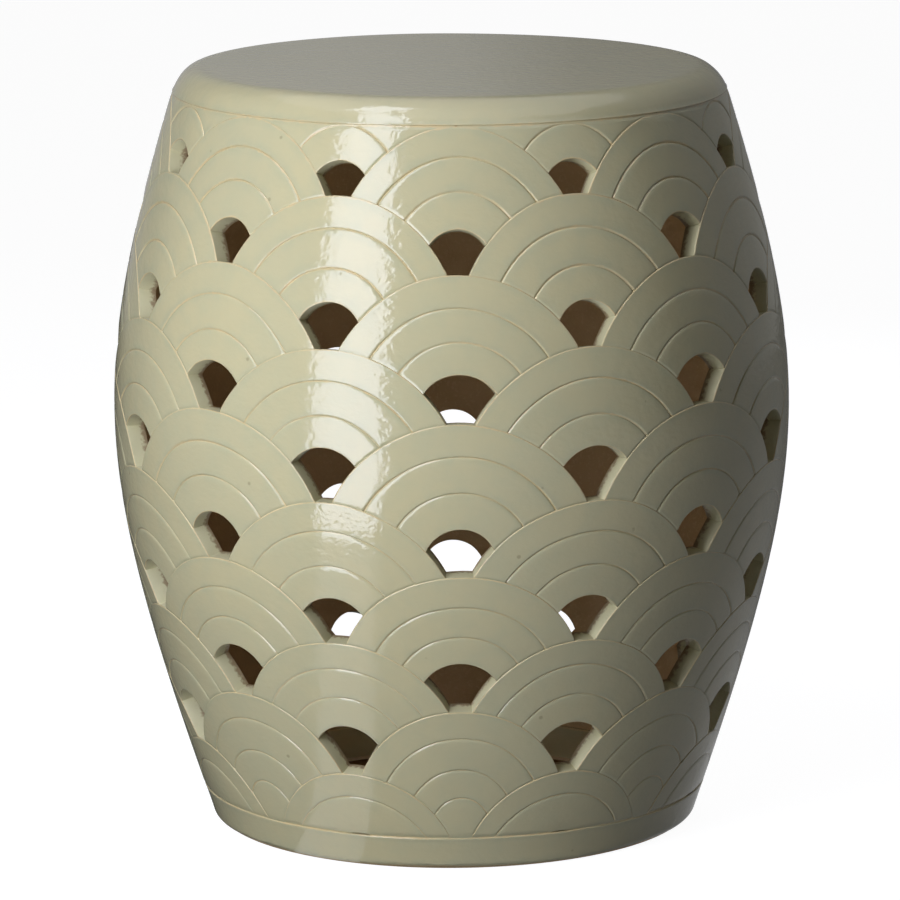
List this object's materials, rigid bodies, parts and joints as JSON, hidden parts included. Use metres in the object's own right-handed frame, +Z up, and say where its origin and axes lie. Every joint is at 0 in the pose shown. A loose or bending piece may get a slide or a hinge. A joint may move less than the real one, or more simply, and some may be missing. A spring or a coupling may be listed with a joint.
{
  "type": "ceramic garden stool",
  "caption": "Barrel-shaped glazed garden stool with a flat seat and a hollow wall pierced between overlapping carved scales.",
  "frame": {"origin": "middle of the flat ring face that the stool rests on", "axes": "+Z up along the stool's upright axis, towards the seat; the middle of a scale column faces -Y"},
  "size_m": [0.406, 0.406, 0.457],
  "materials": {
    "glaze": "glossy sage-grey glaze that breaks to cream on every edge and scored line",
    "bare_clay": "unglazed fired brown stoneware"
  },
  "bodies": {
    "root": {"pierced_wall": "glaze", "seat_slab": "glaze", "foot_ring": "glaze", "seat_luting_coil": "bare_clay", "foot_luting_coil": "bare_clay"}
  },
  "joints": []
}
